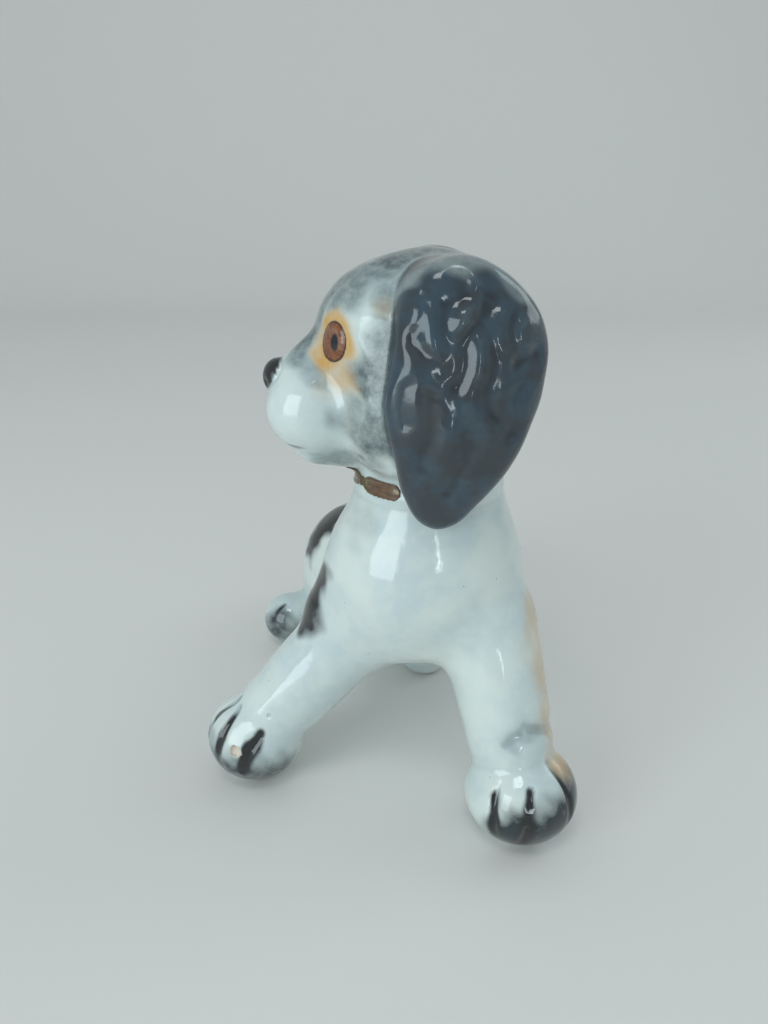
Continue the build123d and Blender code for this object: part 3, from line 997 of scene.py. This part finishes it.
def glazed(name, softness):
    """White glaze with its sprayed and brushed colours and its painted shade and highlights, used on
    every casting.
    """
    glaze = Glaze(name)
    place = glaze.place()
    bend = glaze.coat("bend")

    body = glaze.mix(glaze.ease(glaze.noise(place, 16, 3), 0.62, 0.38),
                     WHITE, COOL_WHITE)
    milky = glaze.math("MULTIPLY", glaze.ease(glaze.noise(place, 5, 4, 0.6, 3.0), 0.60, 0.45), 0.25)
    body = glaze.mix(milky, body, MILKY_WHITE)
    # Darker grey-blue in hollows and creases, by how hollow the surface is: thick glaze there and painted
    # shade.
    pooled_and_shaded = glaze.math("MULTIPLY", glaze.ease(bend, -0.5, -0.02), 0.5)
    body = glaze.mix(pooled_and_shaded, body, POOLED_GLAZE_AND_SHADE)

    cloud = glaze.ease(glaze.noise(place, 2.6, 4, 0.65, 7.0), 0.28, 0.72)
    grain = glaze.ease(glaze.noise(place, 0.8, 3, 0.7, 11.0), 0.30, 0.70)

    def sprayed(colour, coat, amount, patchiness):
        """A coat whose thin edges break up into mottles and fine grain."""
        broken = glaze.math("ADD", glaze.math("MULTIPLY", cloud, 0.8), glaze.math("MULTIPLY", grain, 0.2))
        thin = glaze.math("SUBTRACT", 1.0, glaze.math("MULTIPLY", broken, patchiness))
        landed = glaze.math("MULTIPLY", glaze.coat(coat), thin)
        return glaze.mix(glaze.math("MULTIPLY", landed, amount), body, colour)

    body = sprayed(GREY, "grey", 1.10, 0.42)
    body = sprayed(ORANGE, "orange", 0.96, 0.30)
    body = sprayed(BLACK, "black", 1.25, 0.25)
    body = sprayed(TOE_SLATE, "toe", 1.25, 0.32)
    body = sprayed(STROKE_BLACK, "stroke", 1.12, 0.15)
    body = sprayed(MOUTH_GREY, "line", 0.85, 0.20)

    dark = glaze.mix(glaze.ease(glaze.noise(place, 7, 3, 0.55, 5.0), 0.42, 0.60),
                     EAR_BLUE, EAR_GREY)
    dark = glaze.mix(glaze.math("MULTIPLY", cloud, 0.45), dark, EAR_DEEP)
    # Painted shade: near-black in the hollows between the ear's locks.
    dark = glaze.mix(glaze.math("MULTIPLY", glaze.ease(bend, -0.8, 0.05), 0.70), dark, EAR_HOLLOW_SHADE)
    # Painted highlight: a lighter blue-grey sheen on the ear's proud ridges.
    dark = glaze.mix(glaze.math("MULTIPLY", glaze.ease(bend, 1.2, 0.35), 0.40), dark, EAR_RIDGE)
    body = glaze.mix(glaze.coat("ear"), body, dark)

    body = glaze.mix(glaze.coat("nose"), body, NOSE_BLACK)
    body = painted_eye(glaze, body, place)

    pinholes = glaze.specks(place, 4.2, 0.16, 5.0)
    body = glaze.mix(glaze.math("MULTIPLY", pinholes, 0.75), body, PINHOLE)
    bare = glaze.coat("bare")
    clay = glaze.mix(glaze.ease(glaze.noise(place, 1.1, 4, 0.7), 0.3, 0.7),
                     CLAY, DARK_CLAY)
    body = glaze.mix(bare, body, clay)

    glaze.tree.links.new(body, glaze.shader.inputs["Base Color"])
    ripple = glaze.noise(place, 3.2, 2, 0.5, 9.0)
    skin = glaze.noise(place, 0.7, 2, 0.5, 13.0)
    height = glaze.math("ADD", glaze.math("MULTIPLY", ripple, 0.11), glaze.math("MULTIPLY", skin, 0.008))
    height = glaze.math("SUBTRACT", height, glaze.math("MULTIPLY", pinholes, 0.05))
    bump = glaze.node("ShaderNodeBump", {"Height": height, "Strength": 1.0, "Distance": MM})
    glaze.tree.links.new(bump.outputs[0], glaze.shader.inputs["Normal"])
    haze = glaze.math("MULTIPLY", glaze.noise(place, 9, 3, 0.6, 17.0), 2 * softness)
    rough = glaze.math("ADD", haze, glaze.math("MULTIPLY", bare, 0.7))
    rough = glaze.math("ADD", rough, glaze.math("MULTIPLY", glaze.coat("nose"), 0.25))
    glaze.tree.links.new(rough, glaze.shader.inputs["Roughness"])
    glaze.shader.inputs["Specular IOR Level"].default_value = 0.6
    glaze.shader.inputs["Coat Weight"].default_value = 0.35
    glaze.shader.inputs["Coat Roughness"].default_value = softness
    return glaze.material


def bow_glaze():
    """Brown brush colour on the bow, streaked out from the knot, with a painted olive reflection beside
    the knot and painted glints.
    """
    glaze = Glaze("brown_glaze")
    place = glaze.place()
    along, up = glaze.coat("along"), glaze.coat("up")
    angle = glaze.math("ARCTAN2", up, glaze.math("ADD", glaze.math("ABSOLUTE", along), 1.0))
    fan = glaze.node("ShaderNodeCombineXYZ", {0: glaze.math("MULTIPLY", angle, 22), 1: along})
    streak = glaze.noise(fan.outputs[0], 1.6, 3)
    body = glaze.mix(glaze.ease(streak, 0.36, 0.64), BOW_BROWN, BOW_STREAK)
    # Painted reflection: olive beside the knot.
    near = glaze.ease(glaze.math("ABSOLUTE", along), 1.0, 5.0)
    body = glaze.mix(glaze.math("MULTIPLY", near, 0.6), body, BOW_OLIVE_REFLECTION)
    edge = glaze.ease(glaze.coat("edge"), -0.1, -0.8)
    body = glaze.mix(glaze.math("MULTIPLY", edge, 0.7), body, BOW_EDGE)
    # Painted highlight: pale gold glints scattered over the bow.
    glint = glaze.ease(glaze.noise(place, 0.9, 2, 0.5, 4.0), 0.70, 0.62)
    body = glaze.mix(glaze.math("MULTIPLY", glint, 0.5), body, BOW_GLINT)
    glaze.tree.links.new(body, glaze.shader.inputs["Base Color"])
    height = glaze.math("MULTIPLY", streak, 0.12)
    bump = glaze.node("ShaderNodeBump", {"Height": height, "Strength": 1.0, "Distance": MM})
    glaze.tree.links.new(bump.outputs[0], glaze.shader.inputs["Normal"])
    glaze.shader.inputs["Roughness"].default_value = 0.24
    glaze.shader.inputs["Coat Weight"].default_value = 0.4
    glaze.shader.inputs["Coat Roughness"].default_value = 0.05
    return glaze.material


# ---- Pieces ----

def place_piece(made, node, material):
    made.data.materials.append(material)
    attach(made, "root")
    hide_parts(node)


def make_castings():
    low, high = figure_box()
    p, faces = surface(figure, low, high, VOXEL)
    middles = p[:, faces].mean(axis=2)
    forms = castings(middles)
    labels = np.argmin(np.stack(list(forms.values())), axis=0)
    labels = quiet_labels(labels, faces)
    p = settle_joint_lines(p, faces, labels)
    normals = directions(figure, p)
    _here, _gradient, bend = slope(figure, p, CURVE_STEP)
    coats = coats_on(p, bend)
    white, dark = glazed("white_glaze", WHITE_SOFTNESS), glazed("dark_glaze", DARK_SOFTNESS)
    for index, name in enumerate(forms):
        own = closed_part(p, faces[labels == index], normals, coats)
        is_dark = name.startswith("ear") or name == "tail"
        place_piece(make_mesh(name + "_casting", *own), name,
                    dark if is_dark else white)


def make_bow():
    low, high = (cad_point(corner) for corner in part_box("neck_bow"))
    room = 2.0
    p, faces = surface(bow_form, low - room, high + room, BOW_VOXEL)
    along, up = bow_coordinates(p)
    out = np.abs(along)
    coats = {"along": along, "up": up, "edge": np.maximum(out - BOW_HALF_WIDTH, np.abs(up) - 2.2)}
    bow = make_mesh("applied_bow", p, faces.tolist(), directions(bow_form, p), coats)
    place_piece(bow, "neck_bow", bow_glaze())


# ---- Stage ----

def plain_material(name, colour, roughness):
    material = bpy.data.materials.new(name)
    material.use_nodes = True
    shader = material.node_tree.nodes["Principled BSDF"]
    shader.inputs["Base Color"].default_value = colour
    shader.inputs["Roughness"].default_value = roughness
    return material


def make_floor():
    """A pale floor that curves up into a pale backdrop."""
    half_width, front, back, rise, bend = 1.6, -1.2, 1.1, 1.6, 0.35
    profile = [(front, 0.0)]
    steps = 24
    for i in range(steps + 1):
        turn = math.radians(90) * i / steps
        profile.append((back - bend + bend * math.sin(turn), bend - bend * math.cos(turn)))
    profile.append((back, rise))
    points = [(x, y, z) for y, z in profile for x in (-half_width, half_width)]
    faces = [(2 * i, 2 * i + 1, 2 * i + 3, 2 * i + 2) for i in range(len(profile) - 1)]
    mesh = bpy.data.meshes.new("floor")
    mesh.from_pydata(points, [], faces)
    mesh.shade_smooth()
    floor = bpy.data.objects.new("floor", mesh)
    bpy.context.scene.collection.objects.link(floor)
    floor.data.materials.append(plain_material("floor", FLOOR, 0.6))


def softbox(name, azimuth, elevation, distance, width, height, power, colour):
    """A rectangular light that faces the puppy; azimuth is from straight in front towards +X."""
    a, e = math.radians(azimuth), math.radians(elevation)
    toward = Vector((math.sin(a) * math.cos(e), -math.cos(a) * math.cos(e), math.sin(e)))
    data = bpy.data.lights.new(name, "AREA")
    data.shape = "RECTANGLE"
    data.size, data.size_y = width, height
    data.energy, data.color = power, colour
    light = bpy.data.objects.new(name, data)
    light.location = LIT_POINT + toward * distance
    light.rotation_euler = toward.to_track_quat("Z", "Y").to_euler()
    bpy.context.scene.collection.objects.link(light)


def make_lights():
    cool = (0.84, 0.96, 1.0)
    softbox("window_light", azimuth=-44, elevation=14, distance=0.9,
            width=0.50, height=0.66, power=3.1, colour=cool)
    softbox("strip_light", azimuth=11, elevation=10, distance=0.9,
            width=0.035, height=0.22, power=0.22, colour=cool)
    softbox("top_light", azimuth=-14, elevation=64, distance=0.9,
            width=0.30, height=0.22, power=0.9, colour=(0.96, 1.0, 0.99))
    softbox("back_light", azimuth=110, elevation=30, distance=1.0,
            width=0.5, height=0.6, power=1.2, colour=cool)
    world = bpy.data.worlds.new("studio")
    world.use_nodes = True
    world.node_tree.nodes["Background"].inputs["Color"].default_value = (0.77, 0.86, 0.90, 1)
    world.node_tree.nodes["Background"].inputs["Strength"].default_value = 0.58
    bpy.context.scene.world = world


def make_camera():
    data = bpy.data.cameras.new("camera")
    data.sensor_width = 36.0
    data.lens = LENS
    data.clip_start, data.clip_end = 0.01, 20.0
    camera = bpy.data.objects.new("camera", data)
    camera.location = BENCH_MARK + Vector(CAMERA_AT) * MM
    camera.rotation_euler = (math.radians(90 - CAMERA_DOWN), 0, 0)
    bpy.context.scene.collection.objects.link(camera)
    bpy.context.scene.camera = camera


make_camera()
make_castings()
make_bow()
make_floor()
make_lights()
bpy.context.scene.view_settings.view_transform = "Standard"
